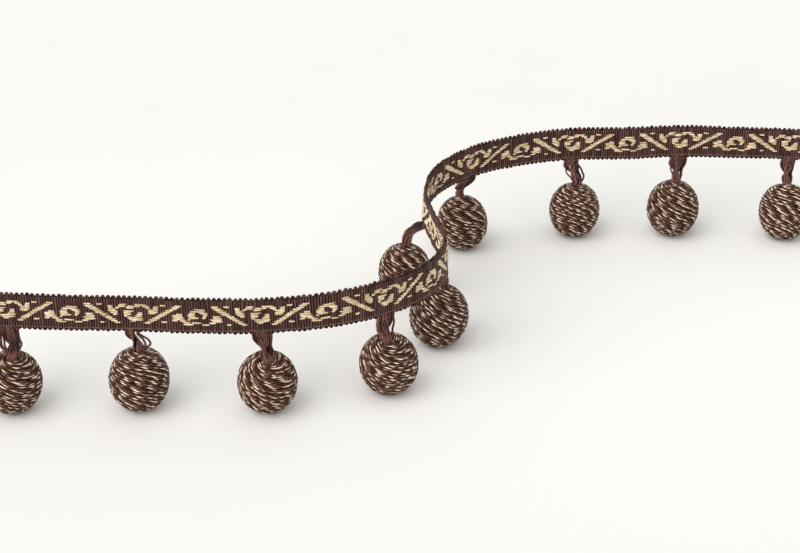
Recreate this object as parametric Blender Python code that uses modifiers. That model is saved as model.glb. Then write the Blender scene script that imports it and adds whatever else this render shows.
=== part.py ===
"""Ball fringe trim: a woven braid that stands on edge in an S, and ten wound balls hung from its lower edge by
necks of yarn. Units are metres, +Z is up, and the origin is on the table under the middle of the trim.
"""

import math
from collections import namedtuple

import bmesh
import bpy
import numpy as np
from mathutils import Matrix, Vector, geometry

MM = 0.001

# The braid
BRAID_WIDTH = 14.7 * MM
BRAID_THICKNESS = 1.1 * MM
SELVEDGE = 0.9 * MM
STATION_STEP = 3.0 * MM

# The balls
BALL_COUNT = 10
BALL_RADIUS = 10.0 * MM
BALL_HALF_HEIGHT = 11.0 * MM
BALL_FULLNESS = 0.9
FOOT_SINK = 0.2 * MM
COURSES = 8
COURSE_DEPTH = 0.25 * MM
ROWS_PER_COURSE = 2
BALL_SIDES = 20

# The hole that a ball hangs by
HOLE_RADIUS = 1.9 * MM
HOLE_DEPTH = 3.2 * MM
LIP = 0.5 * MM

# The necks of yarn
GAP = 0.3 * MM
ROOT_WIDTH = 6.6 * MM
ROOT_HEIGHT = 1.1 * MM
ROOT_THICKNESS = 1.2 * MM
STRANDS = 6
STRAND_RADIUS = 0.5 * MM
STRAND_POINTS = 7
PLUG_RADIUS = 1.5 * MM
PLUG_SIDES = 10
PLUG_LENGTH = 2.4 * MM

# Where the lower edge of the braid runs, twice for each ball: its place on the table and its height in
# millimetres, and how many degrees the braid leans to its front face.
Bend = namedtuple("Bend", "x y height lean")
ROUTE = (
    Bend(-162.5, -59.4, 27.8, 4),
    Bend(-141.5, -60.9, 28.0, 4),
    Bend(-120.0, -62.9, 28.4, 5),
    Bend(-98.7, -63.4, 28.3, 6),
    Bend(-77.4, -64.9, 28.3, 6),
    Bend(-55.6, -65.7, 28.8, 6),
    Bend(-34.3, -64.0, 30.0, 5),
    Bend(-14.9, -54.4, 29.5, 2),
    Bend(0.0, -39.4, 28.7, -1),
    Bend(5.6, -19.6, 27.6, -2),
    Bend(1.6, 1.3, 26.8, -1),
    Bend(-1.8, 22.4, 26.6, 2),
    Bend(2.6, 41.8, 27.2, 5),
    Bend(16.4, 57.1, 28.2, 7),
    Bend(35.6, 66.2, 29.0, 6),
    Bend(56.3, 71.0, 29.3, 4),
    Bend(77.7, 71.8, 29.3, 4),
    Bend(99.0, 73.3, 29.6, 5),
    Bend(120.3, 71.8, 29.9, 8),
    Bend(141.7, 70.4, 29.9, 8),
    Bend(162.5, 67.1, 29.5, 7),
)
SPLINE_STEPS = 24

# One row for each ball. dx and dy are how far the middle of the ball lies from the braid above it, in
# millimetres. nod and roll are the degrees that its hole faces to the front and to the right. size is its scale.
# reach is how far its strands leave sideways and not down, from 0 to 1. slack and bow are how far they bulge
# along their own line and to the right, in millimetres.
Ball = namedtuple("Ball", "dx dy nod roll size reach slack bow")
BALLS = (
    Ball(0.4, -5.6, 9, 7, 1.00, 0.2, 4.6, 1.2),
    Ball(0.5, -1.3, -8, 1, 1.01, 0.0, 2.8, 0.6),
    Ball(1.2, -0.7, 18, 3, 1.00, 0.0, 2.6, 0.0),
    Ball(1.6, 0.8, 12, -4, 1.00, 0.0, 4.2, -0.3),
    Ball(-2.4, -0.6, -12, 8, 1.04, 0.1, 2.6, 0.0),
    Ball(-7.2, -7.2, -14, 4, 0.96, 1.0, 5.0, 0.0),
    Ball(-3.1, -2.7, -20, -6, 0.97, 0.3, 2.8, 0.0),
    Ball(1.6, -5.4, -17, 4, 0.98, 0.2, 2.8, 0.0),
    Ball(-1.9, -6.8, -13, 5, 1.01, 0.2, 2.8, 0.0),
    Ball(-0.5, -7.0, -20, 3, 1.01, 0.2, 2.8, 0.0),
)

BRAID_COLOUR = (0.075, 0.045, 0.042, 1.0)
BALL_COLOUR = (0.19, 0.13, 0.105, 1.0)
NECK_COLOUR = (0.070, 0.040, 0.038, 1.0)


def clear_scene():
    for obj in list(bpy.data.objects):
        bpy.data.objects.remove(obj)


def new_collection(name, hidden=False):
    made = bpy.data.collections.new(name)
    made.hide_render = hidden
    bpy.context.scene.collection.children.link(made)
    return made


def cloth_material(name, colour, roughness):
    material = bpy.data.materials.new(name)
    material.use_nodes = True
    shader = material.node_tree.nodes["Principled BSDF"]
    shader.inputs["Base Color"].default_value = colour
    shader.inputs["Roughness"].default_value = roughness
    shader.inputs["Metallic"].default_value = 0.0
    return material


def place(name, data, collection, material=None):
    obj = bpy.data.objects.new(name, data)
    collection.objects.link(obj)
    if material:
        data.materials.append(material)
    return obj


class Run:
    """The lower edge of the braid as one smooth line, read by the distance along it."""

    def __init__(self, bends):
        rows = np.array(bends, float) * (MM, MM, MM, math.pi / 180)
        before, after = 2 * rows[0] - rows[1], 2 * rows[-1] - rows[-2]
        rows = np.vstack([before, rows, after])
        line = []
        for a, b, c, d in zip(rows, rows[1:], rows[2:], rows[3:]):
            for t in np.arange(SPLINE_STEPS) / SPLINE_STEPS:
                line.append(b + 0.5 * t * (c - a + t * (2 * a - 5 * b + 4 * c - d + t * (3 * (b - c) + d - a))))
        self.rows = np.array(line + [rows[-2]])
        steps = np.linalg.norm(np.diff(self.rows[:, :3], axis=0), axis=1)
        self.along = np.concatenate([[0.0], np.cumsum(steps)])
        self.length = float(self.along[-1])

    def row(self, distance):
        return np.array([np.interp(distance, self.along, column) for column in self.rows.T])

    def edge(self, distance):
        """The point of the lower edge, and the directions along the braid, to its front and up its face."""
        x, y, z, lean = self.row(distance)
        step = 0.5 * MM
        ahead, behind = self.row(distance + step)[:3], self.row(distance - step)[:3]
        along = Vector(ahead - behind).normalized()
        front = Vector((along.y, -along.x, 0)).normalized()
        up = Matrix.Rotation(lean, 3, along) @ front.cross(along).normalized()
        return Vector((x, y, z)), along, up.cross(along).normalized() * -1, up


def braid_section():
    """A flat section with soft selvedges, as a closed outline that the braid's curve carries along."""
    half_width, half_thickness = BRAID_WIDTH / 2, BRAID_THICKNESS / 2
    corner = (
        (half_thickness, half_width - SELVEDGE),
        (0.45 * half_thickness, half_width),
    )
    points = [*corner]
    points += [(-x, y) for x, y in reversed(corner)]
    points += [(-x, -y) for x, y in corner]
    points += [(x, -y) for x, y in reversed(corner)]
    outline = bpy.data.curves.new("braid_section", "CURVE")
    outline.dimensions = "2D"
    spline = outline.splines.new("POLY")
    spline.points.add(len(points) - 1)
    for point, (x, y) in zip(spline.points, points):
        point.co = (x, y, 0, 1)
    spline.use_cyclic_u = True
    return outline


def solid_from(curve):
    """The closed mesh that a curve and its section sweep out."""
    swept = place("swept", curve, bpy.context.scene.collection)
    graph = bpy.context.evaluated_depsgraph_get()
    mesh = bpy.data.meshes.new_from_object(swept.evaluated_get(graph))
    bpy.data.objects.remove(swept)
    shape = bmesh.new()
    shape.from_mesh(mesh)
    bmesh.ops.remove_doubles(shape, verts=shape.verts, dist=0.001 * MM)
    bmesh.ops.recalc_face_normals(shape, faces=shape.faces)
    shape.to_mesh(mesh)
    shape.free()
    return mesh


def open_line(curve, points):
    """Adds one straight-sided line through the points to a curve."""
    spline = curve.splines.new("POLY")
    spline.points.add(len(points) - 1)
    for target, point in zip(spline.points, points):
        target.co = (*point, 1)
    return spline


def make_braid(run, collection, guides, material):
    section = place("braid_section", braid_section(), guides)
    section.hide_render = True
    section.display_type = "WIRE"
    curve = bpy.data.curves.new("braid", "CURVE")
    curve.dimensions = "3D"
    curve.twist_mode = "Z_UP"
    curve.bevel_mode = "OBJECT"
    curve.bevel_object = section
    curve.use_fill_caps = True
    stations = np.linspace(0, run.length, round(run.length / STATION_STEP) + 1)
    middles = []
    for distance in stations:
        edge, _, _, up = run.edge(distance)
        middles.append(edge + up * BRAID_WIDTH / 2)
    spline = open_line(curve, middles)
    for point, distance in zip(spline.points, stations):
        point.tilt = run.row(distance)[3]
    return place("braid", solid_from(curve), collection, material)


def ball_profile():
    """Half of a ball's outline, from the bottom of its hole, over the lip and down its ridged side."""
    mouth = math.acos(((HOLE_RADIUS + LIP) / BALL_RADIUS) ** (1 / BALL_FULLNESS))
    crown = BALL_HALF_HEIGHT * math.sin(mouth)
    profile = [(0, crown - HOLE_DEPTH), (0.9 * HOLE_RADIUS, crown - HOLE_DEPTH), (HOLE_RADIUS, crown - LIP)]
    rows = COURSES * ROWS_PER_COURSE
    for row in range(rows + 1):
        angle = mouth - (mouth + math.pi / 2) * row / rows
        ridge = COURSE_DEPTH * (row % ROWS_PER_COURSE) * math.cos(angle)
        radius = BALL_RADIUS * max(math.cos(angle), 0.0) ** BALL_FULLNESS
        profile.append((radius + ridge, BALL_HALF_HEIGHT * math.sin(angle)))
    profile[-1] = (0, -BALL_HALF_HEIGHT)
    return profile


def ball_mesh():
    shape = bmesh.new()
    points = [shape.verts.new((x, 0, z)) for x, z in ball_profile()]
    for upper, lower in zip(points, points[1:]):
        shape.edges.new((upper, lower))
    mesh = bpy.data.meshes.new("ball")
    shape.to_mesh(mesh)
    shape.free()
    return mesh


def add_boolean(obj, operation, other):
    cut = obj.modifiers.new(other.name, "BOOLEAN")
    cut.operation = operation
    cut.solver = "EXACT"
    cut.object = other


def make_table_cutter(guides):
    """All that lies below the table, which gives each ball a small flat foot."""
    side, depth = 600 * MM, 20 * MM
    shape = bmesh.new()
    size = Matrix.Diagonal((side, side, depth, 1))
    bmesh.ops.create_cube(shape, size=1, matrix=Matrix.Translation((0, 0, -depth / 2)) @ size)
    mesh = bpy.data.meshes.new("below_the_table")
    shape.to_mesh(mesh)
    shape.free()
    cutter = place("below_the_table", mesh, guides)
    cutter.hide_render = True
    cutter.display_type = "WIRE"
    return cutter


def ball_turn(ball):
    """How a ball is turned: its axis, which its hole opens along, is the turned Z."""
    return Matrix.Rotation(math.radians(ball.roll), 3, "Y") @ Matrix.Rotation(math.radians(ball.nod), 3, "X")


def lowest_point(turn, size):
    """How far below its middle a turned ball reaches, taking it as an ellipsoid."""
    down = turn.transposed() @ Vector((0, 0, 1))
    flat = math.hypot(down.x, down.y) * BALL_RADIUS
    return size * math.hypot(flat, down.z * BALL_HALF_HEIGHT)


def ball_middle(run, index):
    ball = BALLS[index]
    edge, _, _, _ = run.edge(hang_distance(run, index))
    height = lowest_point(ball_turn(ball), ball.size) - FOOT_SINK
    return Vector((edge.x + ball.dx * MM, edge.y + ball.dy * MM, height))


def hang_distance(run, index):
    """How far along the braid a ball hangs: in the middle of its share of the length."""
    return run.length * (index + 0.5) / BALL_COUNT


def make_ball(run, index, mesh, cutter, collection):
    ball = BALLS[index]
    obj = place(f"ball_{index + 1:02d}", mesh, collection)
    obj.location = ball_middle(run, index)
    obj.rotation_euler = ball_turn(ball).to_euler()
    obj.scale = (ball.size,) * 3
    turned = obj.modifiers.new("turned", "SCREW")
    turned.steps = turned.render_steps = BALL_SIDES
    turned.use_merge_vertices = True
    turned.merge_threshold = 0.01 * MM
    turned.use_smooth_shade = True
    add_boolean(obj, "DIFFERENCE", cutter)
    return obj


def neck_ends(run, index):
    """The middle of the neck's root and of its plug's top, and the directions that the strands leave and arrive in."""
    ball = BALLS[index]
    edge, along, front, up = run.edge(hang_distance(run, index))
    axis = ball_turn(ball) @ Vector((0, 0, 1))
    mouth = math.acos(((HOLE_RADIUS + LIP) / BALL_RADIUS) ** (1 / BALL_FULLNESS))
    crown = ball.size * BALL_HALF_HEIGHT * math.sin(mouth)
    root = edge - up * (GAP + ROOT_HEIGHT / 2)
    plug_top = ball_middle(run, index) + axis * crown
    sideways = plug_top - root
    sideways -= up * sideways.dot(up)
    leave = (-up * (1 - ball.reach) + sideways.normalized() * ball.reach).normalized()
    return root, plug_top, leave, -axis


def strand_line(run, index, strand):
    """The points down one strand: from its place across the root to its place around the plug."""
    ball = BALLS[index]
    share = 2 * strand / (STRANDS - 1) - 1
    side = 1 if strand % 2 else -1
    _, along, front, _ = run.edge(hang_distance(run, index))
    root, plug_top, leave, arrive = neck_ends(run, index)
    across = ROOT_WIDTH / 2 - STRAND_RADIUS
    gathered = PLUG_RADIUS - STRAND_RADIUS
    start = root + along * share * across
    end = plug_top + along * share * gathered + front * side * math.sqrt(1 - share * share) * gathered
    handle = (plug_top - root).length * 0.3 + ball.slack * MM * 0.5
    bow = Vector((1, 0, 0)) * ball.bow * MM
    line = geometry.interpolate_bezier(
        start, start + leave * handle + bow, end - arrive * handle + bow, end, STRAND_POINTS
    )
    return [start - leave * ROOT_HEIGHT * 0.2, *line[1:-1], end + arrive * PLUG_LENGTH * 0.4]


def strand_mesh(points):
    curve = bpy.data.curves.new("strand", "CURVE")
    curve.dimensions = "3D"
    curve.bevel_depth = STRAND_RADIUS
    curve.bevel_resolution = 0
    curve.use_fill_caps = True
    open_line(curve, points)
    return solid_from(curve)


def root_mesh(run, index):
    """The narrow strip that a neck's strands are fused into, just under the braid's lower edge."""
    _, along, _, up = run.edge(hang_distance(run, index))
    root = neck_ends(run, index)[0]
    turn = Matrix((along, up.cross(along).normalized(), up)).transposed().to_4x4()
    size = Matrix.Diagonal((ROOT_WIDTH, ROOT_THICKNESS, ROOT_HEIGHT, 1))
    shape = bmesh.new()
    bmesh.ops.create_cube(shape, size=1, matrix=Matrix.Translation(root) @ turn @ size)
    bmesh.ops.recalc_face_normals(shape, faces=shape.faces)
    mesh = bpy.data.meshes.new("neck_root")
    shape.to_mesh(mesh)
    shape.free()
    return mesh


def plug_mesh(run, index):
    """The bound end of a neck, in the hole of its ball."""
    _, top, _, arrive = neck_ends(run, index)
    turn = arrive.to_track_quat("Z", "Y").to_matrix().to_4x4()
    middle = top + arrive * PLUG_LENGTH / 2
    shape = bmesh.new()
    bmesh.ops.create_cone(
        shape,
        cap_ends=True,
        segments=PLUG_SIDES,
        radius1=PLUG_RADIUS,
        radius2=PLUG_RADIUS * 0.85,
        depth=PLUG_LENGTH,
        matrix=Matrix.Translation(middle) @ turn,
    )
    mesh = bpy.data.meshes.new("neck_plug")
    shape.to_mesh(mesh)
    shape.free()
    return mesh


def make_neck(run, index, collection, guides, material):
    name = f"neck_{index + 1:02d}"
    neck = place(name, root_mesh(run, index), collection, material)
    pieces = bpy.data.collections.new(name + "_pieces")
    pieces.hide_render = True
    guides.children.link(pieces)
    meshes = [plug_mesh(run, index)]
    meshes += [strand_mesh(strand_line(run, index, strand)) for strand in range(STRANDS)]
    for number, mesh in enumerate(meshes):
        piece = place(f"{name}_piece_{number}", mesh, pieces)
        piece.hide_render = True
        piece.display_type = "WIRE"
    union = neck.modifiers.new("strands", "BOOLEAN")
    union.operation = "UNION"
    union.solver = "EXACT"
    union.operand_type = "COLLECTION"
    union.collection = pieces
    return neck


def main():
    clear_scene()
    trim = new_collection("ball_fringe_trim")
    guides = new_collection("guides", hidden=True)
    braid_cloth = cloth_material("braid_cloth", BRAID_COLOUR, 0.75)
    wound_yarn = cloth_material("wound_yarn", BALL_COLOUR, 0.60)
    neck_yarn = cloth_material("neck_yarn", NECK_COLOUR, 0.65)
    run = Run(ROUTE)
    make_braid(run, trim, guides, braid_cloth)
    below = make_table_cutter(guides)
    wound = ball_mesh()
    wound.materials.append(wound_yarn)
    for index in range(BALL_COUNT):
        make_ball(run, index, wound, below, trim)
        make_neck(run, index, trim, guides, neck_yarn)


main()
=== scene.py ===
"""Ball fringe trim: a figured rep braid with looped edges that stands in an S, and ten balls of wound
yarn that hang from it by soft necks. Everything is in metres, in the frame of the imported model.
"""

import math
from collections import namedtuple

import bmesh
import bpy
import numpy as np
from mathutils import Matrix, Vector, geometry


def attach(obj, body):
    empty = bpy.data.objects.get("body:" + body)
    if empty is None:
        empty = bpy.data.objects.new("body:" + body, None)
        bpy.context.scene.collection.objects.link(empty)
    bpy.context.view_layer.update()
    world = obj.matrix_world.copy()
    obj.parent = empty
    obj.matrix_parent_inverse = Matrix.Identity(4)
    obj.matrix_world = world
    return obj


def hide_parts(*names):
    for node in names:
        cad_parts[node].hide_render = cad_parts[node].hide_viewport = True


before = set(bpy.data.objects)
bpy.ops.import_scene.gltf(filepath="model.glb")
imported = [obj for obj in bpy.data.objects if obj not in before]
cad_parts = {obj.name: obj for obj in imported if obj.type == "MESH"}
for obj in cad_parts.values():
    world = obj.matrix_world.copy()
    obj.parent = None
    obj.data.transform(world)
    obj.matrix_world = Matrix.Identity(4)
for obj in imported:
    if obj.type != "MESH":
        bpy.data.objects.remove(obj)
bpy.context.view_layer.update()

MM = 0.001
TURN = 2 * math.pi

# The braid, as in the part's source. Each bend gives the place of its lower edge in millimetres, and how
# far its face leans in degrees.
BRAID_WIDTH = 14.7 * MM
BALL_COUNT = 10
SPLINE_STEPS = 24
Bend = namedtuple("Bend", "x y height lean")
ROUTE = (
    Bend(-162.5, -59.4, 27.8, 4),
    Bend(-141.5, -60.9, 28.0, 4),
    Bend(-120.0, -62.9, 28.4, 5),
    Bend(-98.7, -63.4, 28.3, 6),
    Bend(-77.4, -64.9, 28.3, 6),
    Bend(-55.6, -65.7, 28.8, 6),
    Bend(-34.3, -64.0, 30.0, 5),
    Bend(-14.9, -54.4, 29.5, 2),
    Bend(0.0, -39.4, 28.7, -1),
    Bend(5.6, -19.6, 27.6, -2),
    Bend(1.6, 1.3, 26.8, -1),
    Bend(-1.8, 22.4, 26.6, 2),
    Bend(2.6, 41.8, 27.2, 5),
    Bend(16.4, 57.1, 28.2, 7),
    Bend(35.6, 66.2, 29.0, 6),
    Bend(56.3, 71.0, 29.3, 4),
    Bend(77.7, 71.8, 29.3, 4),
    Bend(99.0, 73.3, 29.6, 5),
    Bend(120.3, 71.8, 29.9, 8),
    Bend(141.7, 70.4, 29.9, 8),
    Bend(162.5, 67.1, 29.5, 7),
)

# The balls, as in the part's source. Each gives how far it stands from the braid over it in millimetres,
# how far it nods and rolls in degrees, its size, how much its neck leaves the braid sideways, and how slack
# the neck is and how far it bows in millimetres.
Ball = namedtuple("Ball", "dx dy nod roll size reach slack bow")
BALLS = (
    Ball(0.4, -5.6, 9, 7, 1.00, 0.2, 4.6, 1.2),
    Ball(0.5, -1.3, -8, 1, 1.01, 0.0, 2.8, 0.6),
    Ball(1.2, -0.7, 18, 3, 1.00, 0.0, 2.6, 0.0),
    Ball(1.6, 0.8, 12, -4, 1.00, 0.0, 4.2, -0.3),
    Ball(-2.4, -0.6, -12, 8, 1.04, 0.1, 2.6, 0.0),
    Ball(-7.2, -7.2, -14, 4, 0.96, 1.0, 5.0, 0.0),
    Ball(-3.1, -2.7, -20, -6, 0.97, 0.3, 2.8, 0.0),
    Ball(1.6, -5.4, -17, 4, 0.98, 0.2, 2.8, 0.0),
    Ball(-1.9, -6.8, -13, 5, 1.01, 0.2, 2.8, 0.0),
    Ball(-0.5, -7.0, -20, 3, 1.01, 0.2, 2.8, 0.0),
)
BALL_RADIUS = 10.0 * MM
BALL_HALF_HEIGHT = 11.0 * MM
BALL_FULLNESS = 0.9
FOOT_SINK = 0.2 * MM
HOLE_RADIUS = 1.9 * MM
HOLE_DEPTH = 3.2 * MM
LIP = 0.5 * MM
GAP = 0.3 * MM
ROOT_WIDTH = 6.6 * MM
ROOT_HEIGHT = 1.1 * MM
PLUG_RADIUS = 1.5 * MM
PLUG_LENGTH = 2.4 * MM

# The weave: ribs stand across the braid, and each pair of them is one hairpin of weft
RIBS_PER_REPEAT = 48
RIB_COUNT = RIBS_PER_REPEAT * BALL_COUNT
LOOP_COUNT = RIB_COUNT // 2
ROW_HEIGHT = 0.655 * MM
FIGURE_TOP = BRAID_WIDTH - 3.3 * MM
FIGURE_SHIFT = 0.35  # how many ribs past the middle of a ball the chart starts
LONGEST_BACK_FLOAT = 7  # in ribs
SHORTEST_FLOAT = 0.9  # in ribs
BARE_END = 0.15  # how many ribs the figure keeps clear of the braid's cut ends

# Where the tan figure floats over the ribs, charted: for each row from the top, the first rib of each
# float and how many it covers. The figure is a scroll over each ball, a slanting bar, an upside-down
# scroll and a bar back.
FIGURE = (
    ((0.3, 4.9), (10, 2.3), (15.6, 2.7), (29.4, 2.6), (34, 2.3), (42.5, 3.1)),
    ((0.2, 2.3), (3.4, 2.6), (7.6, 1.9), (14.5, 2.8), (29.5, 3.5), (38.2, 1.9), (42, 3.2), (45.6, 2.5)),
    ((4.7, 1.6), (7.3, 2.1), (13.5, 2.9), (22.6, 4.5), (30.5, 3.5), (38.3, 2), (41.1, 1.5), (45, 3.3)),
    ((5.4, 4), (12, 3.1), (21.2, 6), (31.3, 3.9), (38.3, 3)),
    ((5.3, 4), (10.9, 3), (20.9, 2.4), (24.6, 3.3), (32.5, 3.5), (38.2, 3.7), (43.9, 4.1)),
    (
        (1.5, 1.7), (5.3, 3.2), (9.8, 3), (15.9, 2.4), (20.3, 2.9),
        (25.8, 2.1), (33.3, 3.3), (38.9, 3), (43.9, 3.1),
    ),
    (
        (0.9, 2.4), (8.9, 2.8), (14.3, 4.2), (20.2, 3.3), (26, 1.6),
        (29.6, 3.1), (34.9, 3), (40, 1.8), (44, 3),
    ),
    ((7.8, 2.8), (14.4, 4.3), (20.5, 4.2), (25.7, 1.3), (29.7, 3.5), (35.8, 3), (44.2, 1.3), (48.2, 3)),
    ((6.7, 2.9), (14.5, 4.7), (20.2, 1.1), (28.6, 4.8), (36.8, 3), (44.7, 6.9)),
    ((45.4, 5.9), (5.5, 3.1), (14.3, 2.2), (17.2, 2.6), (29.2, 4.3), (37.8, 3)),
    ((46.4, 2.3), (4.7, 2.7), (10.1, 2.3), (18.4, 2.6), (21.5, 4), (28.3, 2.6), (39, 2.6)),
    ((3.7, 2.4), (18.3, 4.2), (25.4, 3.1), (34.9, 1.7), (40.3, 2.4)),
)


# ---------------------------------------------------------------- where things lie


class BraidLine:
    """The lower edge of the braid as one smooth line, and the places on the braid measured from it."""

    def __init__(self, bends):
        rows = np.array(bends, float) * (MM, MM, MM, math.pi / 180)
        rows = np.vstack([2 * rows[0] - rows[1], rows, 2 * rows[-1] - rows[-2]])
        line = []
        for a, b, c, d in zip(rows, rows[1:], rows[2:], rows[3:]):
            for t in np.arange(SPLINE_STEPS) / SPLINE_STEPS:
                slope, curve, swing = c - a, 2 * a - 5 * b + 4 * c - d, 3 * (b - c) + d - a
                line.append(b + 0.5 * t * (slope + t * (curve + t * swing)))
        self.rows = np.array(line + [rows[-2]])
        steps = np.linalg.norm(np.diff(self.rows[:, :3], axis=0), axis=1)
        self.along = np.concatenate([[0.0], np.cumsum(steps)])
        self.length = float(self.along[-1])

    def read(self, distance):
        """The rows of x, y, height and lean at distances along the lower edge."""
        return np.stack([np.interp(distance, self.along, column) for column in self.rows.T], axis=-1)

    def directions(self, distance):
        """Points of the lower edge, and the directions along the braid, to its front and up its face."""
        inside = np.clip(distance, 0.0, self.length)
        row = self.read(inside)
        step = 0.5 * MM
        along = unit(self.read(inside + step)[..., :3] - self.read(inside - step)[..., :3])
        flat = unit(np.stack([along[..., 1], -along[..., 0], np.zeros_like(inside)], axis=-1))
        upright = unit(np.cross(flat, along))
        lean = row[..., 3:]
        up = upright * np.cos(lean) + np.cross(along, upright) * np.sin(lean)
        point = row[..., :3] + along * (distance - inside)[..., None]
        return point, along, -unit(np.cross(up, along)), up

    def place(self, distance, height, proud):
        """Points so far along the braid, so high above its lower edge and so proud of its middle."""
        point, _, front, up = self.directions(distance)
        return point + up * height[..., None] + front * proud[..., None]

    def edge(self, distance):
        """One point of the lower edge with its three directions."""
        return [Vector(row[0]) for row in self.directions(np.array([float(distance)]))]


def unit(vectors):
    return vectors / np.linalg.norm(vectors, axis=-1, keepdims=True)


LINE = BraidLine(ROUTE)
RIB = LINE.length / RIB_COUNT


def hang_distance(index):
    """How far along the braid a ball hangs."""
    return LINE.length * (index + 0.5) / BALL_COUNT


def ball_turn(ball):
    nod = Matrix.Rotation(math.radians(ball.nod), 3, "X")
    return Matrix.Rotation(math.radians(ball.roll), 3, "Y") @ nod


def ball_middle(index):
    ball = BALLS[index]
    down = ball_turn(ball).transposed() @ Vector((0, 0, 1))
    flat = math.hypot(down.x, down.y) * BALL_RADIUS
    height = ball.size * math.hypot(flat, down.z * BALL_HALF_HEIGHT) - FOOT_SINK
    edge = LINE.edge(hang_distance(index))[0]
    return Vector((edge.x + ball.dx * MM, edge.y + ball.dy * MM, height))


MOUTH = math.acos(((HOLE_RADIUS + LIP) / BALL_RADIUS) ** (1 / BALL_FULLNESS))
CROWN = BALL_HALF_HEIGHT * math.sin(MOUTH)


# ---------------------------------------------------------------- making meshes


def link(name, mesh):
    obj = bpy.data.objects.new(name, mesh)
    bpy.context.scene.collection.objects.link(obj)
    return obj


def read_points(mesh):
    points = np.empty(len(mesh.vertices) * 3)
    mesh.vertices.foreach_get("co", points)
    return points.reshape(-1, 3)


def write_points(mesh, points):
    mesh.vertices.foreach_set("co", np.ascontiguousarray(points, np.float32).ravel())
    mesh.update()


def read_uv(mesh):
    uv = np.empty(len(mesh.loops) * 2)
    mesh.uv_layers[0].data.foreach_get("uv", uv)
    return uv.reshape(-1, 2)


def write_uv(mesh, uv):
    mesh.uv_layers[0].data.foreach_set("uv", np.ascontiguousarray(uv, np.float32).ravel())


def loop_points(mesh):
    numbers = np.empty(len(mesh.loops), np.int32)
    mesh.loops.foreach_get("vertex_index", numbers)
    return numbers


def rolled_tubes(name, count, stations, sides, place, lengths, tones, spin=None):
    """Tubes in one mesh. Each is a flat grid, repeated by an array, that place() rolls up: it is given
    which tube a point is on, how far along it (0 to 1) and at what angle round it, and gives the point's
    place. The UV map runs along a tube in millimetres and once round it. The tone is an attribute: one
    number for each tube, or what a function like place() gives. spin says how many turns the plies have
    made at each station, and turns the map with them.
    """
    shape = bmesh.new()
    shape.loops.layers.uv.new("UVMap")
    bmesh.ops.create_grid(shape, x_segments=stations - 1, y_segments=sides, size=0.5, calc_uvs=True)
    mesh = bpy.data.meshes.new(name)
    shape.to_mesh(mesh)
    shape.free()
    obj = link(name, mesh)
    if count > 1:
        array = obj.modifiers.new("repeat", "ARRAY")
        array.count = count
        array.use_relative_offset = False
        array.use_constant_offset = True
        array.constant_offset_displace = (0, 0, 1)
        graph = bpy.context.evaluated_depsgraph_get()
        mesh = bpy.data.meshes.new_from_object(obj.evaluated_get(graph))
        obj.modifiers.clear()
        obj.data = mesh
    flat = read_points(mesh)
    number = np.rint(flat[:, 2]).astype(int)
    uv = read_uv(mesh)
    if spin is not None:
        uv[:, 1] -= spin[np.rint(uv[:, 0] * (stations - 1)).astype(int)]
    uv[:, 0] *= (np.broadcast_to(lengths, count) / MM)[number[loop_points(mesh)]]
    write_uv(mesh, uv)
    along, angle = flat[:, 0] + 0.5, TURN * (flat[:, 1] + 0.5)
    tones = tones(number, along, angle) if callable(tones) else np.array(tones)[number]
    mesh.attributes.new("tone", "FLOAT", "POINT").data.foreach_set("value", np.float32(tones))
    write_points(mesh, place(number, along, angle))
    close_up(mesh)
    return obj


def close_up(mesh):
    """Merges the seams, fills the open ends, turns the faces outwards and shades them smooth."""
    shape = bmesh.new()
    shape.from_mesh(mesh)
    bmesh.ops.remove_doubles(shape, verts=shape.verts, dist=0.001 * MM)
    bmesh.ops.holes_fill(shape, edges=[edge for edge in shape.edges if edge.is_boundary], sides=0)
    bmesh.ops.recalc_face_normals(shape, faces=shape.faces)
    for face in shape.faces:
        face.smooth = True
    shape.to_mesh(mesh)
    shape.free()


def slow_change(random, where, count, amount):
    """A random course over the numbers in where: count random values, joined by straight lines."""
    return np.interp(where, np.linspace(0, where[-1], count), random.normal(0, amount, count))


def finish_piece(obj, material, replaced=()):
    obj.data.materials.clear()
    obj.data.materials.append(material)
    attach(obj, "root")
    if replaced:
        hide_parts(*replaced)
    return obj


# ---------------------------------------------------------------- materials


def paint(red, green, blue):
    """A colour from its 0 to 255 screen values."""
    channels = [value / 255 for value in (red, green, blue)]
    return (*[c / 12.92 if c <= 0.04045 else ((c + 0.055) / 1.055) ** 2.4 for c in channels], 1.0)


class Nodes:
    """Adds nodes to a tree. An input is given a value, or another node's output."""

    def __init__(self, tree):
        self.tree = tree

    def add(self, kind, inputs=None, **settings):
        node = self.tree.nodes.new(kind)
        for name, value in settings.items():
            setattr(node, name, value)
        for name, value in (inputs or {}).items():
            socket = node.inputs[name]
            if isinstance(value, bpy.types.NodeSocket):
                self.tree.links.new(value, socket)
            else:
                socket.default_value = value
        return node

    def math(self, operation, first, second=0.0, third=0.0, clamp=False):
        inputs = {0: first, 1: second, 2: third}
        return self.add("ShaderNodeMath", inputs, operation=operation, use_clamp=clamp).outputs[0]

    def mix(self, factor, first, second):
        """Two colours mixed. Inputs 6 and 7 are where this node takes colours."""
        inputs = {0: factor, 6: first, 7: second}
        return self.add("ShaderNodeMix", inputs, data_type="RGBA").outputs[2]

    def noise(self, vector, scale, detail, roughness=0.5):
        inputs = {"Vector": vector, "Scale": scale, "Detail": detail, "Roughness": roughness}
        return self.add("ShaderNodeTexNoise", inputs).outputs[0]

    def remap(self, value, low, high, new_low=0.0, new_high=1.0):
        inputs = {0: value, 1: low, 2: high, 3: new_low, 4: new_high}
        return self.add("ShaderNodeMapRange", inputs).outputs[0]


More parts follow.
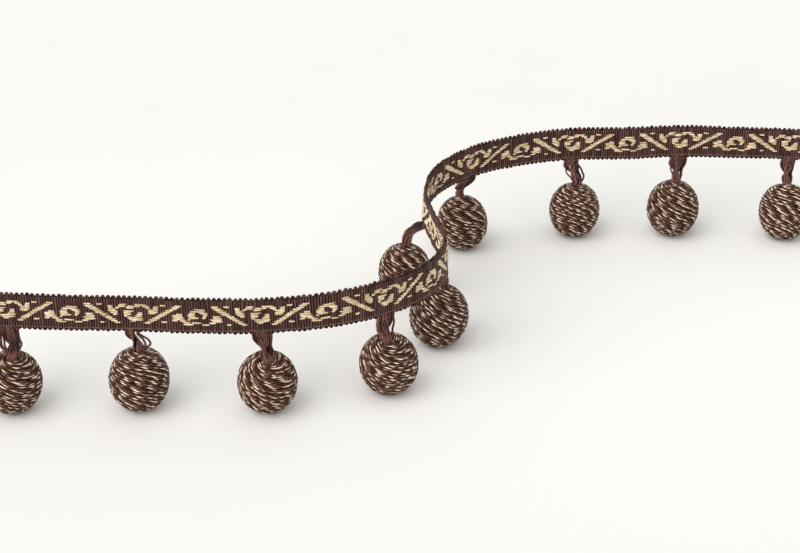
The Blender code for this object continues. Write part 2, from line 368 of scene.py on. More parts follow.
def node_group(name, inputs, outputs):
    """An empty group, a maker of its nodes, what it is given and where its outputs go."""
    group = bpy.data.node_groups.new(name, "ShaderNodeTree")
    for label, value in inputs:
        socket = group.interface.new_socket(label, in_out="INPUT", socket_type="NodeSocketFloat")
        socket.default_value = value
    for label in outputs:
        group.interface.new_socket(label, in_out="OUTPUT", socket_type="NodeSocketFloat")
    nodes = Nodes(group)
    return group, nodes, nodes.add("NodeGroupInput").outputs, nodes.add("NodeGroupOutput").inputs


def make_fibres():
    """The plies and fine fibres of a thread, which turn round it as they run along it. Lay is how far a ply
    goes for one turn, in the millimetres of Along, and Tone sets one thread apart from the next.
    """
    group, nodes, given, out = node_group(
        "thread_fibres",
        [("Along", 0.0), ("Around", 0.0), ("Lay", 4.0), ("Plies", 2.0), ("Tone", 0.0)],
        ["Height", "Shade", "Valley", "Streak"],
    )
    slant = nodes.math("DIVIDE", given["Along"], given["Lay"])
    spiral = nodes.math("ADD", given["Around"], slant)
    round_it = nodes.math("MULTIPLY", spiral, TURN)
    ply = nodes.math("FRACT", nodes.math("MULTIPLY", spiral, given["Plies"]))
    valley = nodes.math("ABSOLUTE", nodes.math("MULTIPLY_ADD", ply, 2.0, -1.0))
    valley = nodes.remap(valley, 0.35, 0.9)
    girth, stretch = 2.2, 0.32  # the noise is read on a coil, so that fibres are long and thin
    way_down = nodes.math("MULTIPLY", given["Along"], stretch)
    place = nodes.add(
        "ShaderNodeCombineXYZ",
        {
            0: nodes.math("MULTIPLY", nodes.math("SINE", round_it), girth),
            1: nodes.math("MULTIPLY", nodes.math("COSINE", round_it), girth),
            2: nodes.math("MULTIPLY_ADD", given["Tone"], 37.0, way_down),
        },
    ).outputs[0]
    fine = nodes.noise(place, scale=3.4, detail=3.0, roughness=0.62)
    slow = nodes.noise(place, scale=0.7, detail=2.0)
    height = nodes.math("MULTIPLY_ADD", valley, -1.4, nodes.remap(fine, 0.3, 0.7))
    nodes.tree.links.new(height, out["Height"])
    nodes.tree.links.new(valley, out["Valley"])
    line = nodes.add(
        "ShaderNodeCombineXYZ",
        {0: nodes.math("MULTIPLY", given["Along"], 0.5), 1: nodes.math("MULTIPLY", given["Tone"], 91.0)},
    ).outputs[0]
    streak = nodes.noise(line, scale=1.0, detail=2.0, roughness=0.6)
    nodes.tree.links.new(nodes.remap(streak, 0.35, 0.65), out["Streak"])
    shade = nodes.math("ADD", fine, slow)
    nodes.tree.links.new(nodes.remap(shade, 0.7, 1.3), out["Shade"])
    return group


def make_unevenness():
    """A factor near one, by which the shade of a dyed textile drifts from place to place."""
    group, nodes, given, out = node_group("dye_unevenness", [("Amount", 0.2)], ["Factor"])
    where = nodes.add("ShaderNodeTexCoord").outputs["Object"]
    noise = nodes.noise(where, scale=160.0, detail=3.0, roughness=0.6)
    spread = nodes.math("MULTIPLY", nodes.math("SUBTRACT", noise, 0.5), given["Amount"])
    nodes.tree.links.new(nodes.math("ADD", nodes.math("MULTIPLY", spread, 4.0), 1.0), out["Factor"])
    return group


FIBRES = make_fibres()
UNEVENNESS = make_unevenness()
GLOSS_TINT = paint(242, 200, 170)
PAINTED_GROOVE_SHADE = paint(8, 2, 1)  # painted shade: the near-black put in the grooves between ribs and between plies
BUMP_DEPTH = 0.1 * MM
UNTWISTED = 900.0  # so long a lay, in millimetres, that it shows no twist


def start_material(name):
    material = bpy.data.materials.new(name)
    material.use_nodes = True
    nodes = Nodes(material.node_tree)
    shader = material.node_tree.nodes["Principled BSDF"]
    return material, nodes, shader


def thread_parts(nodes, lay):
    """What a thread's material is mixed from: its UV, its tone, its fibres and its dye's unevenness."""
    uv = nodes.add("ShaderNodeSeparateXYZ", {0: nodes.add("ShaderNodeUVMap", uv_map="UVMap").outputs[0]})
    tone = nodes.add("ShaderNodeAttribute", attribute_name="tone").outputs["Fac"]
    fibres = nodes.add("ShaderNodeGroup", node_tree=FIBRES)
    for label, source in (("Along", uv.outputs[0]), ("Around", uv.outputs[1]), ("Tone", tone)):
        nodes.tree.links.new(source, fibres.inputs[label])
    fibres.inputs["Lay"].default_value = lay
    uneven = nodes.add("ShaderNodeGroup", node_tree=UNEVENNESS)
    return uv, tone, fibres, uneven


def scale_colour(nodes, colour, factor):
    grey = nodes.add("ShaderNodeCombineColor", {0: factor, 1: factor, 2: factor}).outputs[0]
    inputs = {0: 1.0, 6: colour, 7: grey}
    return nodes.add("ShaderNodeMix", inputs, data_type="RGBA", blend_type="MULTIPLY").outputs[2]


def set_finish(shader, specular, sheen=0.0, sheen_tint=GLOSS_TINT):
    """The gloss of a yarn, and the sheen of its fuzz where it has one."""
    shader.inputs["Specular IOR Level"].default_value = specular
    shader.inputs["Specular Tint"].default_value = GLOSS_TINT
    shader.inputs["Sheen Weight"].default_value = sheen
    shader.inputs["Sheen Roughness"].default_value = 0.35
    shader.inputs["Sheen Tint"].default_value = sheen_tint


def connect(nodes, shader, colour, roughness, height, strength):
    """Links the changing values to the shader, the height by way of a bump."""
    link_to = nodes.tree.links.new
    link_to(colour, shader.inputs["Base Color"])
    link_to(roughness, shader.inputs["Roughness"])
    bump = nodes.add("ShaderNodeBump", {"Height": height, "Strength": strength, "Distance": BUMP_DEPTH})
    link_to(bump.outputs[0], shader.inputs["Normal"])


def make_thread_material(name, deep, dark, light, lay, specular, rough, bump, sheen=0.0, by_thread=0.45):
    """A plain dyed thread of two plies, dark to light by its fibres and from one thread to the next, with
    its deep colour painted as shade between its plies. lay is in millimetres, and by_thread is how much of
    the range a thread's own tone takes.
    """
    material, nodes, shader = start_material(name)
    _, tone, fibres, uneven = thread_parts(nodes, lay)
    uneven.inputs["Amount"].default_value = 0.18
    by_fibre = nodes.math("ADD", fibres.outputs["Shade"], fibres.outputs["Streak"])
    by_fibre = nodes.math("MULTIPLY", by_fibre, (1 - by_thread) / 2)
    blend = nodes.remap(nodes.math("MULTIPLY_ADD", tone, by_thread, by_fibre), 0.2, 0.8)
    ply = nodes.mix(blend, paint(*dark), paint(*light))
    # Painted shade: the deep colour in the valleys between the plies.
    ply = nodes.mix(nodes.math("MULTIPLY", fibres.outputs["Valley"], 0.95), ply, paint(*deep))
    colour = scale_colour(nodes, ply, uneven.outputs[0])
    roughness = nodes.remap(fibres.outputs["Shade"], 0.0, 1.0, rough + 0.12, rough - 0.08)
    connect(nodes, shader, colour, roughness, fibres.outputs["Height"], bump)
    set_finish(shader, specular, sheen, paint(*light))
    return material


BEAD_PITCH = 0.95  # how long one stitch of a rib looks between the warps that cross it, in millimetres


def make_rep_cloth():
    """The dark ground of the braid: ribs one UV unit wide, each a little different, with painted shade at
    their sides and towards the ends of each stitch.
    """
    material, nodes, shader = start_material("braid_rep_cloth")
    uv = nodes.add("ShaderNodeSeparateXYZ", {0: nodes.add("ShaderNodeUVMap", uv_map="UVMap").outputs[0]})
    rib = nodes.math("FRACT", uv.outputs[0])
    groove = nodes.math("ABSOLUTE", nodes.math("MULTIPLY_ADD", rib, 2.0, -1.0))
    number = nodes.math("FLOOR", uv.outputs[0])
    tone = nodes.add("ShaderNodeTexWhiteNoise", {"W": number}, noise_dimensions="1D").outputs[0]
    fibres = nodes.add("ShaderNodeGroup", node_tree=FIBRES)
    for label, source in (("Along", uv.outputs[1]), ("Around", rib), ("Tone", tone)):
        nodes.tree.links.new(source, fibres.inputs[label])
    fibres.inputs["Lay"].default_value = 5.0
    uneven = nodes.add("ShaderNodeGroup", node_tree=UNEVENNESS)
    uneven.inputs["Amount"].default_value = 0.2
    blend = nodes.math("MULTIPLY_ADD", tone, 0.4, nodes.math("MULTIPLY", fibres.outputs["Shade"], 0.6))
    stagger = nodes.math("MULTIPLY", number, 0.5)
    bead = nodes.math("FRACT", nodes.math("MULTIPLY_ADD", uv.outputs[1], 1 / BEAD_PITCH, stagger))
    bead = nodes.math("ABSOLUTE", nodes.math("MULTIPLY_ADD", bead, 2.0, -1.0))
    # Painted shade: each stitch is darker towards its ends, where it dips under the warps.
    blend = nodes.math("MULTIPLY_ADD", bead, -0.3, nodes.math("ADD", blend, 0.15), clamp=True)
    crown = nodes.mix(blend, paint(30, 11, 7), paint(138, 104, 98))
    # Painted shade in the grooves between the ribs.
    depth = nodes.remap(groove, 0.2, 0.85)
    colour = scale_colour(nodes, nodes.mix(depth, crown, PAINTED_GROOVE_SHADE), uneven.outputs[0])
    roughness = nodes.remap(fibres.outputs["Shade"], 0.0, 1.0, 0.6, 0.42)
    height = nodes.math("MULTIPLY_ADD", bead, -0.8, fibres.outputs["Height"])
    connect(nodes, shader, colour, roughness, height, strength=0.5)
    set_finish(shader, specular=0.1)
    return material


def make_wound_yarn():
    """Yarn of three plies that lie side by side round it: a brown one, one with a cream strand that comes
    and goes along the yarn, and a dark one, with painted shade in the valleys between them.
    """
    material, nodes, shader = start_material("wound_yarn_marled")
    uv, tone, fibres, uneven = thread_parts(nodes, 9.0)
    uneven.inputs["Amount"].default_value = 0.16
    plies, third_ply = 3.0, 0.6667
    around = nodes.math("FRACT", uv.outputs[1])
    ply = nodes.math("FRACT", nodes.math("MULTIPLY", around, plies))
    from_crest = nodes.math("ABSOLUTE", nodes.math("MULTIPLY_ADD", ply, 2.0, -1.0))
    valley = nodes.remap(from_crest, 0.4, 0.8)
    from_middle = nodes.math("ABSOLUTE", nodes.math("SUBTRACT", around, 0.5))
    cream = nodes.remap(from_middle, 0.09, 0.135, 1.0, 0.0)
    stretch = nodes.math("MULTIPLY", uv.outputs[0], 0.12)
    run = nodes.add("ShaderNodeCombineXYZ", {0: stretch, 1: tone}).outputs[0]
    presence = nodes.remap(nodes.noise(run, scale=1.0, detail=2.0), 0.38, 0.56, 0.15, 1.0)
    brown = nodes.mix(fibres.outputs["Shade"], paint(54, 26, 16), paint(148, 106, 88))
    dark = nodes.mix(fibres.outputs["Shade"], paint(22, 7, 3), paint(96, 60, 46))
    pale = nodes.mix(fibres.outputs["Shade"], paint(244, 204, 174), paint(255, 250, 234))
    colour = nodes.mix(nodes.math("GREATER_THAN", around, third_ply), brown, dark)
    colour = nodes.mix(nodes.math("MULTIPLY", cream, presence), colour, pale)
    # Painted shade in the valleys between the plies.
    colour = nodes.mix(nodes.math("MULTIPLY", valley, 0.95), colour, PAINTED_GROOVE_SHADE)
    colour = scale_colour(nodes, colour, uneven.outputs[0])
    roughness = nodes.remap(fibres.outputs["Shade"], 0.0, 1.0, 0.5, 0.34)
    height = nodes.math("MULTIPLY_ADD", valley, -1.0, fibres.outputs["Height"])
    connect(nodes, shader, colour, roughness, height, strength=0.5)
    set_finish(shader, specular=0.12)
    return material


REP_CLOTH = make_rep_cloth()
WOUND_YARN = make_wound_yarn()
LOOP_YARN = make_thread_material(
    "edge_loop_yarn", (8, 2, 1), (34, 13, 9), (122, 88, 81), 2.4,
    specular=0.14, rough=0.46, bump=0.6,
)
# With this long lay the ply valleys lie along the upper and lower edges of each stroke, so the deep colour
# is painted shade where one stroke meets the next.
FIGURE_YARN = make_thread_material(
    "figure_silk", (92, 56, 30), (204, 170, 126), (254, 243, 212), UNTWISTED,
    specular=0.25, rough=0.42, bump=0.5, sheen=0.02, by_thread=0.2,
)
# Painted shade: the same weft as the upper loops, painted darker because the lower loops face down into
# shade.
LOWER_LOOP_SHADED_YARN = make_thread_material(
    "lower_loop_yarn_painted_shade", (6, 1, 1), (18, 6, 4), (84, 56, 50), 2.4,
    specular=0.12, rough=0.46, bump=0.6,
)
# On the necks the tone attribute is painted light where a strand faces out of the bundle and painted shade
# where it meets the next, and by_thread gives it most of the range.
NECK_YARN = make_thread_material(
    "neck_yarn_plied", (5, 1, 1), (11, 3, 2), (204, 150, 136), 1.7,
    specular=0.2, rough=0.32, bump=1.0, by_thread=0.6,
)
PIPING = make_thread_material(
    "edge_line_thread", (70, 44, 38), (110, 80, 72), (184, 150, 138), 1.2,
    specular=0.25, rough=0.45, bump=0.5, sheen=0.03,
)


# ---------------------------------------------------------------- the braid

HALF_THICKNESS = 0.42 * MM
RIB_RELIEF = 0.16 * MM
COLUMNS_PER_RIB = 4
# The rows of the woven ground: their heights in millimetres, and how thick it is there as a share
BAND_ROWS = (0.75, 1.0, 1.5, 3.0, 4.6, 6.2, 7.8, 9.4, 11.0, 12.4, 13.1, 13.5)
BAND_TAPER = (0.55, 0.85, 1.0, 1.0, 1.0, 1.0, 1.0, 1.0, 1.0, 1.0, 0.85, 0.55)


def make_band():
    """The woven ground: a flat grid given its thickness, ribbed on both faces and laid along the line."""
    shape = bmesh.new()
    shape.loops.layers.uv.new("UVMap")
    columns, rows = RIB_COUNT * COLUMNS_PER_RIB, len(BAND_ROWS) - 1
    bmesh.ops.create_grid(shape, x_segments=columns, y_segments=rows, size=0.5, calc_uvs=True)
    bmesh.ops.solidify(shape, geom=shape.faces[:], thickness=1.0)
    mesh = bpy.data.meshes.new("woven_band")
    shape.to_mesh(mesh)
    shape.free()
    flat = read_points(mesh)
    middle = (flat[:, 2].min() + flat[:, 2].max()) / 2
    side = np.where(flat[:, 2] > middle, 1.0, -1.0)
    level = (flat[:, 1] + 0.5) * rows
    height = np.interp(level, range(rows + 1), BAND_ROWS) * MM
    taper = np.interp(level, range(rows + 1), BAND_TAPER)
    ribs = (flat[:, 0] + 0.5) * RIB_COUNT
    relief = RIB_RELIEF * np.sqrt(np.abs(np.sin(math.pi * ribs)))
    uneven = 0.015 * MM * np.sin(ribs * 1.7 + 2.0 * np.sin(ribs * 0.13))
    proud = side * (HALF_THICKNESS + relief) * taper + uneven
    write_points(mesh, LINE.place(ribs * RIB, height, proud))
    uv = read_uv(mesh)
    uv[:, 0] = ribs[loop_points(mesh)]
    uv[:, 1] = height[loop_points(mesh)] / MM
    write_uv(mesh, uv)
    obj = link("woven_band", mesh)
    close_up(mesh)
    return obj


def round_section(angle, radius, flatten=1.0):
    """How far a point on a thread's skin lies to its side and to its front."""
    return radius * np.cos(angle), radius * flatten * np.sin(angle)


# The hairpins of weft along an edge: how many, how many ribs along the first one stands, the height that
# they leave the cloth at and the way they point, how far they reach and how much that varies, the weft's
# radius, and how square they are (less is squarer). Lengths are in millimetres.
Edge = namedtuple("Edge", "count first base way reach varies thick square")
UPPER_EDGE = Edge(LOOP_COUNT, 1, 12.75, 1, 1.42, 0.11, 0.41, 0.8)
LOWER_EDGE = Edge(LOOP_COUNT - 1, 2, 1.45, -1, 1.05, 0.08, 0.40, 0.55)
LOOP_HALF_WIDTH = 0.52 * RIB
LOOP_SWAY = 0.07
LOOP_FORWARD = 0.08
LOOP_ROUNDNESS = 0.85


def make_edge_loops(name, edge, seed):
    """The hairpins of weft along one edge: each joins two neighbouring ribs."""
    random = np.random.default_rng(seed)
    tall = (edge.reach + random.normal(0, edge.varies, edge.count)) * MM
    sway = random.normal(0, LOOP_SWAY, edge.count) * MM
    forward = random.normal(0, LOOP_FORWARD, edge.count) * MM
    thick = edge.thick * MM * (1 + random.normal(0, 0.05, edge.count))
    middle = (2 * np.arange(edge.count) + edge.first) * RIB

    def place(number, along, angle):
        swing = math.pi * along
        across = -np.sign(np.cos(swing)) * np.abs(np.cos(swing)) ** edge.square * LOOP_HALF_WIDTH
        share = np.abs(np.sin(swing)) ** LOOP_ROUNDNESS
        slope_across = np.sin(swing) * LOOP_HALF_WIDTH
        slope_rise = np.cos(swing) * tall[number]
        size = np.hypot(slope_across, slope_rise)
        out_across, out_rise = -slope_rise / size, slope_across / size
        wide, deep = round_section(angle, thick[number], 1.05)
        distance = middle[number] + across + sway[number] * share + out_across * wide
        height = edge.base * MM + edge.way * (share * tall[number] + out_rise * wide)
        return LINE.place(distance, height, deep + forward[number] * share)

    yarn_length = 4.0 * MM
    return rolled_tubes(name, edge.count, 9, 6, place, yarn_length, random.random(edge.count))


def float_rows(front):
    """Every float of one face as its middle along the braid, its height and its length."""
    floats = []
    for row, charted in enumerate(FIGURE):
        height = FIGURE_TOP - ROW_HEIGHT * row
        if not front:
            covered = np.zeros(RIBS_PER_REPEAT, bool)
            for first, ribs in charted:
                covered[np.arange(round(first), round(first + ribs)) % RIBS_PER_REPEAT] = True
            charted = open_stretches(~covered)
        for repeat in range(-1, BALL_COUNT + 1):
            start = hang_distance(repeat) / RIB + FIGURE_SHIFT
            for first, ribs in charted:
                low = max(start + first, BARE_END)
                high = min(start + first + ribs, RIB_COUNT - BARE_END)
                if high - low > SHORTEST_FLOAT:
                    floats.append(((low + high) / 2 * RIB, height, (high - low) * RIB))
    return np.array(floats)


def open_stretches(free):
    """The stretches of ribs that the figure leaves free, each cut where it gets too long."""
    start = int(np.flatnonzero(~free)[0])
    stretches, run = [], 0
    for step in range(1, RIBS_PER_REPEAT + 1):
        rib = (start + step) % RIBS_PER_REPEAT
        if free[rib]:
            run += 1
        if run and (not free[rib] or run == LONGEST_BACK_FLOAT):
            last = rib if free[rib] else rib - 1
            stretches.append(((last - run + 1) % RIBS_PER_REPEAT, run))
            run = 0
    return stretches


def make_floats(name, front, seed):
    """The figure: flat strokes of silk that lie over a few ribs each and dive between them at both ends."""
    random = np.random.default_rng(seed)
    floats = float_rows(front)
    count = len(floats)
    middle, height, length = floats.T
    height = height + random.normal(0, 0.03, count) * MM
    tilt = random.normal(0, 0.05, count)
    tall = (0.355 + random.normal(0, 0.02, count)) * MM
    lift = HALF_THICKNESS + RIB_RELIEF + np.minimum(length / RIB, 6) * 0.012 * MM
    way = 1.0 if front else -1.0
    length = length + 0.2 * RIB
    end_dive, narrowest, flatness = 0.30, 0.05, 0.9

    def place(number, along, angle):
        share = 2 * along - 1
        round_off = np.clip(1 - np.abs(share) ** 5, 0.0, 1) ** 0.5
        wide, deep = round_section(angle, tall[number] * np.maximum(round_off, narrowest), flatness)
        out = middle[number] + share * length[number] / 2
        arch = lift[number] * (1 - end_dive * np.abs(share) ** 4)
        level = height[number] + tilt[number] * share * length[number] / 2 + wide
        return LINE.place(out, level, way * (arch + deep))

    return rolled_tubes(name, count, 8, 8, place, length, random.random(count))


def make_edge_line(name, level, radius, seed):
    """The thin lighter thread along the lower margin, which passes over each rib and dips between them."""
    stations = RIB_COUNT * 4 + 1
    random = np.random.default_rng(seed)
    drift = slow_change(random, np.linspace(0, 60, stations), 61, 0.05) * MM
    dip, rise = 0.16 * MM, 0.30 * MM

    def place(number, along, angle):
        wide, deep = round_section(angle, radius)
        ribs = along * RIB_COUNT
        station = np.rint(along * (stations - 1)).astype(int)
        lift = HALF_THICKNESS - dip + rise * np.abs(np.sin(math.pi * ribs))
        return LINE.place(ribs * RIB, level + drift[station] + wide, lift + deep)

    return rolled_tubes(name, 1, stations, 5, place, LINE.length, [0.6])


band = make_band()
top_loops = make_edge_loops("upper_edge_loops", UPPER_EDGE, seed=11)
bottom_loops = make_edge_loops("lower_edge_loops", LOWER_EDGE, seed=12)
front_figure = make_floats("front_figure_floats", front=True, seed=13)
back_figure = make_floats("back_figure_floats", front=False, seed=14)
edge_line = make_edge_line("lower_edge_line", level=1.62 * MM, radius=0.17 * MM, seed=15)

finish_piece(band, REP_CLOTH, ["braid"])
finish_piece(top_loops, LOOP_YARN)
finish_piece(bottom_loops, LOWER_LOOP_SHADED_YARN)
finish_piece(front_figure, FIGURE_YARN)
finish_piece(back_figure, FIGURE_YARN)
finish_piece(edge_line, PIPING)


# ---------------------------------------------------------------- the balls

YARN_RADIUS = 0.34 * MM
YARN_PITCH = 0.67 * MM
YARN_LAY = 5.4 * MM
YARN_SIDES = 7
YARN_WIDE, YARN_DEEP = 1.2, 0.92  # the winding presses the yarn a little flat, so that its turns close up
YARN_SWELL = 0.14 * MM  # how far its crown stands out from the solid ball
STATION_STEP = 0.9 * MM  # from one station of the yarn to the next, where the turn isn't tight


def winding_profile():
    """The line that the yarn's middle follows from the floor of the hole, over the lip and to the foot."""
    floor = CROWN - HOLE_DEPTH
    inner = HOLE_RADIUS - 0.1 * MM
    points = [(0.25 * MM, floor), (inner * 0.6, floor)]
    points += [(inner, floor + 0.5 * MM), (inner, CROWN - 1.1 * MM)]
    for angle in np.linspace(MOUTH, -math.pi / 2, 60)[1:]:
        radius = BALL_RADIUS * max(math.cos(angle), 0.0) ** BALL_FULLNESS + YARN_SWELL
        height = BALL_HALF_HEIGHT * math.sin(angle)
        inward = unit(np.array([radius / BALL_RADIUS ** 2, height / BALL_HALF_HEIGHT ** 2]))
        point = np.array([radius, height]) - inward * YARN_RADIUS * 0.95
        points.append((max(point[0], 0.3 * MM), point[1]))
    return np.array(points)


def winding_stations(profile, random):
    """The yarn's whole path in the ball's own frame, and the outward direction at each station. Its turns
    slope and cross a little, but not in the hole or at the foot. The wobbles are in millimetres.
    """
    slope = random.uniform(0.3, 1.0)
    steps = np.linalg.norm(np.diff(profile, axis=0), axis=1)
    depth = np.concatenate([[0.0], np.cumsum(steps)])
    fine = np.linspace(0, depth[-1], 6000)
    radius = np.interp(fine, depth, profile[:, 0])
    turn = TURN * fine / YARN_PITCH
    step = np.clip(STATION_STEP / radius, 0.03, 0.5)
    progress = np.concatenate([[0.0], np.cumsum(np.diff(turn) / step[1:])])
    count = int(progress[-1]) + 1
    at = np.interp(np.linspace(0, progress[-1], count), progress, fine)
    angle = TURN * at / YARN_PITCH + random.random() * TURN
    phase = random.random(4) * TURN
    quiet = np.clip(np.minimum(at - 5 * MM, depth[-1] - 2 * MM - at) / (4 * MM), 0, 1)
    wobble = slope * np.sin(angle + phase[0] + at / MM * 0.1)
    wobble += 0.22 * np.sin(2 * angle + phase[1] - at / MM * 0.2)
    wobble += 0.07 * np.sin(3.3 * angle + phase[2])
    at = np.clip(at + wobble * quiet * MM, 0, depth[-1])
    radius, height = np.interp(at, depth, profile[:, 0]), np.interp(at, depth, profile[:, 1])
    nudge = 0.2 * MM
    ahead = np.stack([np.interp(at + nudge, depth, profile[:, k]) for k in (0, 1)], axis=-1)
    behind = np.stack([np.interp(at - nudge, depth, profile[:, k]) for k in (0, 1)], axis=-1)
    down = unit(ahead - behind + 1e-9)
    out_flat, out_up = -down[:, 1], down[:, 0]
    press = 1 + 0.012 * np.sin(angle * 1.37 + phase[3])
    path = np.stack([radius * press * np.cos(angle), radius * press * np.sin(angle), height], axis=-1)
    outward = np.stack([out_flat * np.cos(angle), out_flat * np.sin(angle), out_up], axis=-1)
    return path, outward


def make_wound_ball(index, profile):
    """One ball: a single yarn wound round and round, pressed flat where it stands on the table."""
    ball = BALLS[index]
    random = np.random.default_rng(100 + index)
    path, outward = winding_stations(profile, random)
    turn = np.array(ball_turn(ball))
    stations = len(path)
    stand = slow_change(random, np.linspace(0, 1, stations), stations // 14, 0.05) * MM
    path = (path * ball.size + outward * stand[:, None]) @ turn.T + np.array(ball_middle(index))
    outward = outward @ turn.T
    ahead = unit(np.gradient(path, axis=0))
    outward = unit(outward - ahead * np.sum(outward * ahead, axis=-1, keepdims=True))
    beside = np.cross(ahead, outward)
    length = np.concatenate([[0.0], np.cumsum(np.linalg.norm(np.diff(path, axis=0), axis=1))])
    lay = YARN_LAY * (1 + slow_change(random, length, 90, 0.16))
    spin = np.concatenate([[0.0], np.cumsum(np.diff(length) / lay[1:])])
    thick = YARN_RADIUS * (1 + slow_change(random, length, 300, 0.05))

    def place(number, along, angle):
        station = np.rint(along * (stations - 1)).astype(int)
        reach = thick[station][:, None]
        proud = np.cos(angle)[:, None] * outward[station] * YARN_DEEP
        side = np.sin(angle)[:, None] * beside[station] * YARN_WIDE
        points = path[station] + reach * (proud + side)
        points[:, 2] = np.maximum(points[:, 2], 0.0)
        return points

    name, tone = f"wound_ball_{index + 1:02d}", random.random()
    obj = rolled_tubes(name, 1, stations, YARN_SIDES, place, length[-1], [tone], spin)
    finish_piece(obj, WOUND_YARN, [f"ball_{index + 1:02d}"])


profile = winding_profile()
for index in range(BALL_COUNT):
    make_wound_ball(index, profile)


# ---------------------------------------------------------------- the necks

BEZIER_STATIONS = 46
NECK_LAY = 1.7 * MM
SWIRL = 0.6 * MM  # how far a strand swings out as the bundle twists
RIPPLE = 0.22 * MM  # how far it wavers on its own
STRAND_RELIEF = 0.3  # how much its two plies stand out from round
INNER_RING = 0.45  # every third strand goes down nearer the middle of the hole
# Each neck: its strands, how wide they leave the braid as a share of the root, their radius in millimetres,
# how many turns they twist round each other, how far along the braid their root is shifted in millimetres,
# and its loose strands: the shares of the half widths that each starts and ends at, and how many loose bows
# it stands out along the braid and to the front
Neck = namedtuple("Neck", "strands width thick twist shift loose")
LOOSE_BOW = 1.33 * MM
NECKS = (
    Neck(
        24, 1.0, 0.36, 0.5, 0.0,
        ((-1.0, -0.9, -2.8, 0.3), (-0.9, -0.8, -2.2, 0.6), (-0.7, -0.6, -1.5, 0.9)),
    ),
    Neck(11, 0.45, 0.38, 0.3, -2.0, ((2.2, 1.0, 2.3, 0.3), (1.8, 0.6, 1.2, 0.7), (1.0, 0.1, 0.4, 0.9))),
    Neck(24, 1.0, 0.37, 0.6, 0.0, ()),
    Neck(22, 1.0, 0.36, 0.5, 0.8, ((-0.9, -0.6, -1.5, 0.2), (-0.8, -0.5, -1.1, 0.5), (0.9, 0.8, 0.3, 0.3))),
    Neck(12, 0.6, 0.36, 0.6, -0.6, ()),
    Neck(22, 0.8, 0.42, 0.7, 0.0, ((0.9, 0.9, 1.3, 0.3), (-0.9, -0.9, -1.3, 0.3), (0.5, 0.6, 0.7, 0.6))),
    Neck(26, 1.25, 0.37, 0.3, -2.0, ()),
    Neck(20, 0.85, 0.37, 0.5, 0.0, ((-0.7, -0.9, -1.9, 0.3), (0.65, 0.9, 1.2, 0.3))),
    Neck(22, 0.95, 0.37, 0.5, 0.0, ((-0.95, -0.9, -0.8, 0.3),)),
    Neck(26, 0.8, 0.38, 0.5, 0.3, ()),
)
Hang = namedtuple("Hang", "root plug_top leave arrive along front up")


def neck_ends(index):
    """The middles of the neck's root and of its end in the hole, the ways it leaves and arrives, and the
    directions along the braid, to its front and up its face.
    """
    ball = BALLS[index]
    edge, along, front, up = LINE.edge(hang_distance(index))
    axis = ball_turn(ball) @ Vector((0, 0, 1))
    plug_top = ball_middle(index) + axis * ball.size * CROWN
    root = edge - up * (GAP + ROOT_HEIGHT / 2)
    sideways = plug_top - root
    sideways -= up * sideways.dot(up)
    leave = (-up * (1 - ball.reach) + sideways.normalized() * ball.reach).normalized()
    return Hang(root, plug_top, leave, -axis, along, front, up)


def strand_path(hang, start, end, handle, bow, twist=0.0, share=0.0, wave=0.0):
    """One strand: a curve with a swirl and a ripple, led on behind the braid and down into the hole."""
    leave, arrive, along, front = hang.leave, hang.arrive, hang.along, hang.front
    line = geometry.interpolate_bezier(
        start, start + leave * handle + bow, end - arrive * handle + bow, end, BEZIER_STATIONS
    )
    for step, point in enumerate(line):
        t = step / (BEZIER_STATIONS - 1)
        angle = TURN * twist * t + share * math.pi
        swirl = SWIRL * math.sin(math.pi * t)
        ripple = RIPPLE * math.sin(math.pi * t) * math.sin(TURN * 1.6 * t + wave)
        line[step] = point + swirl * (along * math.cos(angle) + front * math.sin(angle)) + along * ripple
    before = [start + hang.up * rise * MM - leave * 0.1 * MM for rise in (2.2, 1.3, 0.5)]
    after = [end + arrive * PLUG_LENGTH * deep for deep in (0.3, 0.65, 1.0)]
    return [tuple(point) for point in [*before, *line, *after]]


def neck_strands(index):
    """The paths of a neck's strands, from behind the braid's lower edge into the hole of the ball."""
    ball, neck = BALLS[index], NECKS[index]
    random = np.random.default_rng(200 + index)
    hang = neck_ends(index)
    along, front = hang.along, hang.front
    handle = (hang.plug_top - hang.root).length * 0.3 + ball.slack * MM * 0.5
    bow = Vector((1, 0, 0)) * ball.bow * MM
    wide = ROOT_WIDTH / 2 * neck.width
    gathered = PLUG_RADIUS - neck.thick * MM * 0.4
    shift = neck.shift * MM
    paths = []
    for strand in range(neck.strands):
        share = (2 * (strand + 0.5) / neck.strands - 1) + random.normal(0, 0.05)
        side = 1 if strand % 2 else -1
        ring = TURN * (strand / neck.strands) + 0.5
        reach = gathered * (1.0 if strand % 3 else INNER_RING)
        start = hang.root + along * (share * wide + shift) + front * side * 0.25 * MM
        end = hang.plug_top + along * math.cos(ring) * reach + front * math.sin(ring) * reach
        stray = along * random.normal(0, 0.35) * MM + front * random.normal(0, 0.3) * MM
        wave = random.random() * TURN
        paths.append(strand_path(hang, start, end, handle, bow + stray, neck.twist, share, wave))
    for start_share, end_share, aside, forward in neck.loose:
        start = hang.root + along * (start_share * wide + shift)
        end = hang.plug_top + along * end_share * gathered + front * 0.5 * gathered
        loose = bow + (along * aside + front * forward) * LOOSE_BOW
        paths.append(strand_path(hang, start, end, handle, loose))
    return np.array(paths), random


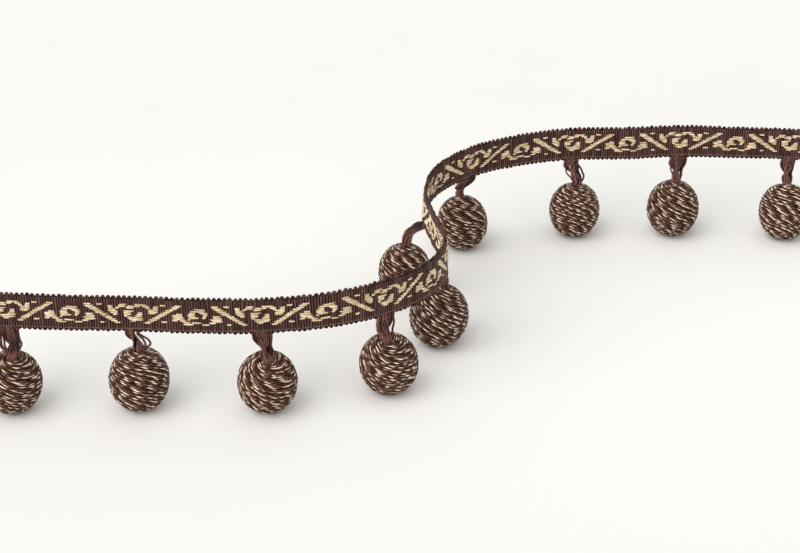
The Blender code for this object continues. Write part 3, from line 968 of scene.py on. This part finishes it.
def make_neck(index):
    """One neck: its strands in one mesh, each of two plies that turn round each other."""
    paths, random = neck_strands(index)
    count, stations = paths.shape[:2]
    ahead = unit(np.gradient(paths, axis=1))
    along = np.array(LINE.edge(hang_distance(index))[1])
    beside = unit(np.cross(ahead, along))
    other = np.cross(beside, ahead)
    radius = NECKS[index].thick * MM * (1 + random.normal(0, 0.08, count))
    lengths = np.linalg.norm(np.diff(paths, axis=1), axis=2).sum(axis=1)
    outward = unit(paths - paths.mean(axis=0) + 1e-9)
    tones = random.random(count)

    def skin(number, share, angle):
        """The station of a point, and the way it lies from the middle of its strand."""
        station = np.rint(share * (stations - 1)).astype(int)
        turned = angle - TURN * share * lengths[number] / NECK_LAY + number
        across, level = np.cos(turned)[:, None], np.sin(turned)[:, None]
        return station, across * beside[number, station] + level * other[number, station]

    def place(number, share, angle):
        station, way = skin(number, share, angle)
        reach = radius[number] * (1 + STRAND_RELIEF * np.cos(2 * angle))
        return paths[number, station] + reach[:, None] * way

    def shade(number, share, angle):
        """Painted light where a strand looks out of the bundle and painted shade where it meets the next
        one.
        """
        station, way = skin(number, share, angle)
        facing = np.sum(way * outward[number, station], axis=1)
        return np.clip(0.8 * facing + 0.25 * tones[number], 0, 1)

    obj = rolled_tubes(f"yarn_neck_{index + 1:02d}", count, stations, 6, place, lengths, shade)
    return finish_piece(obj, NECK_YARN, [f"neck_{index + 1:02d}"])


necks = [make_neck(index) for index in range(BALL_COUNT)]


# ---------------------------------------------------------------- the setting


def make_floor():
    """A pale paper floor, with painted light: a little lighter near the trim, to lift the shade that falls
    there.
    """
    shape = bmesh.new()
    bmesh.ops.create_grid(shape, x_segments=1, y_segments=1, size=4.0)
    mesh = bpy.data.meshes.new("pale_floor")
    shape.to_mesh(mesh)
    shape.free()
    floor = link("pale_floor", mesh)
    material, nodes, shader = start_material("floor_paper")
    where = nodes.add("ShaderNodeTexCoord").outputs["Object"]
    mottle = nodes.noise(where, scale=30.0, detail=2.0)
    colour = nodes.mix(mottle, paint(230, 229, 227), paint(232, 231, 229))
    squeeze = {0: where, 1: (0.5, 1.0, 1.0)}
    narrowed = nodes.add("ShaderNodeVectorMath", squeeze, operation="MULTIPLY").outputs[0]
    away = nodes.add("ShaderNodeVectorMath", {0: narrowed}, operation="LENGTH").outputs["Value"]
    near = nodes.remap(away, 0.06, 0.2, 1.0, 0.0)
    # Painted light on the floor near the trim.
    colour = nodes.mix(near, colour, paint(236, 235, 233))
    nodes.tree.links.new(colour, shader.inputs["Base Color"])
    shader.inputs["Roughness"].default_value = 0.9
    shader.inputs["Specular IOR Level"].default_value = 0.1
    mesh.materials.append(material)


def add_key(name, place, spread, strength, colour):
    """A big soft light, so far off that it falls evenly on the whole floor."""
    light = bpy.data.lights.new(name, "SUN")
    light.angle = math.radians(spread)
    light.energy = strength
    light.color = colour
    lamp = bpy.data.objects.new(name, light)
    lamp.location = place
    lamp.rotation_euler = (-Vector(place)).to_track_quat("-Z", "Y").to_euler()
    bpy.context.scene.collection.objects.link(lamp)


def add_camera():
    """The photo's camera: a long lens that looks down at the trim from 28 degrees above the floor."""
    data = bpy.data.cameras.new("photo_camera")
    data.lens = 88
    data.sensor_width = 36
    camera = bpy.data.objects.new("photo_camera", data)
    camera.location = (-0.0107, -0.6294, 0.350)
    camera.rotation_euler = (math.radians(62), 0, 0)
    bpy.context.scene.collection.objects.link(camera)
    bpy.context.scene.camera = camera


def set_world(strength):
    world = bpy.data.worlds.new("white_studio")
    world.use_nodes = True
    background = world.node_tree.nodes["Background"]
    background.inputs[0].default_value = (1.0, 0.995, 0.98, 1)
    background.inputs[1].default_value = strength
    bpy.context.scene.world = world


make_floor()
add_camera()
set_world(0.83)
add_key("key_light", (-0.55, -0.52, 0.62), spread=66.0, strength=1.93, colour=(1.0, 0.985, 0.965))
bpy.context.scene.view_settings.view_transform = "Standard"
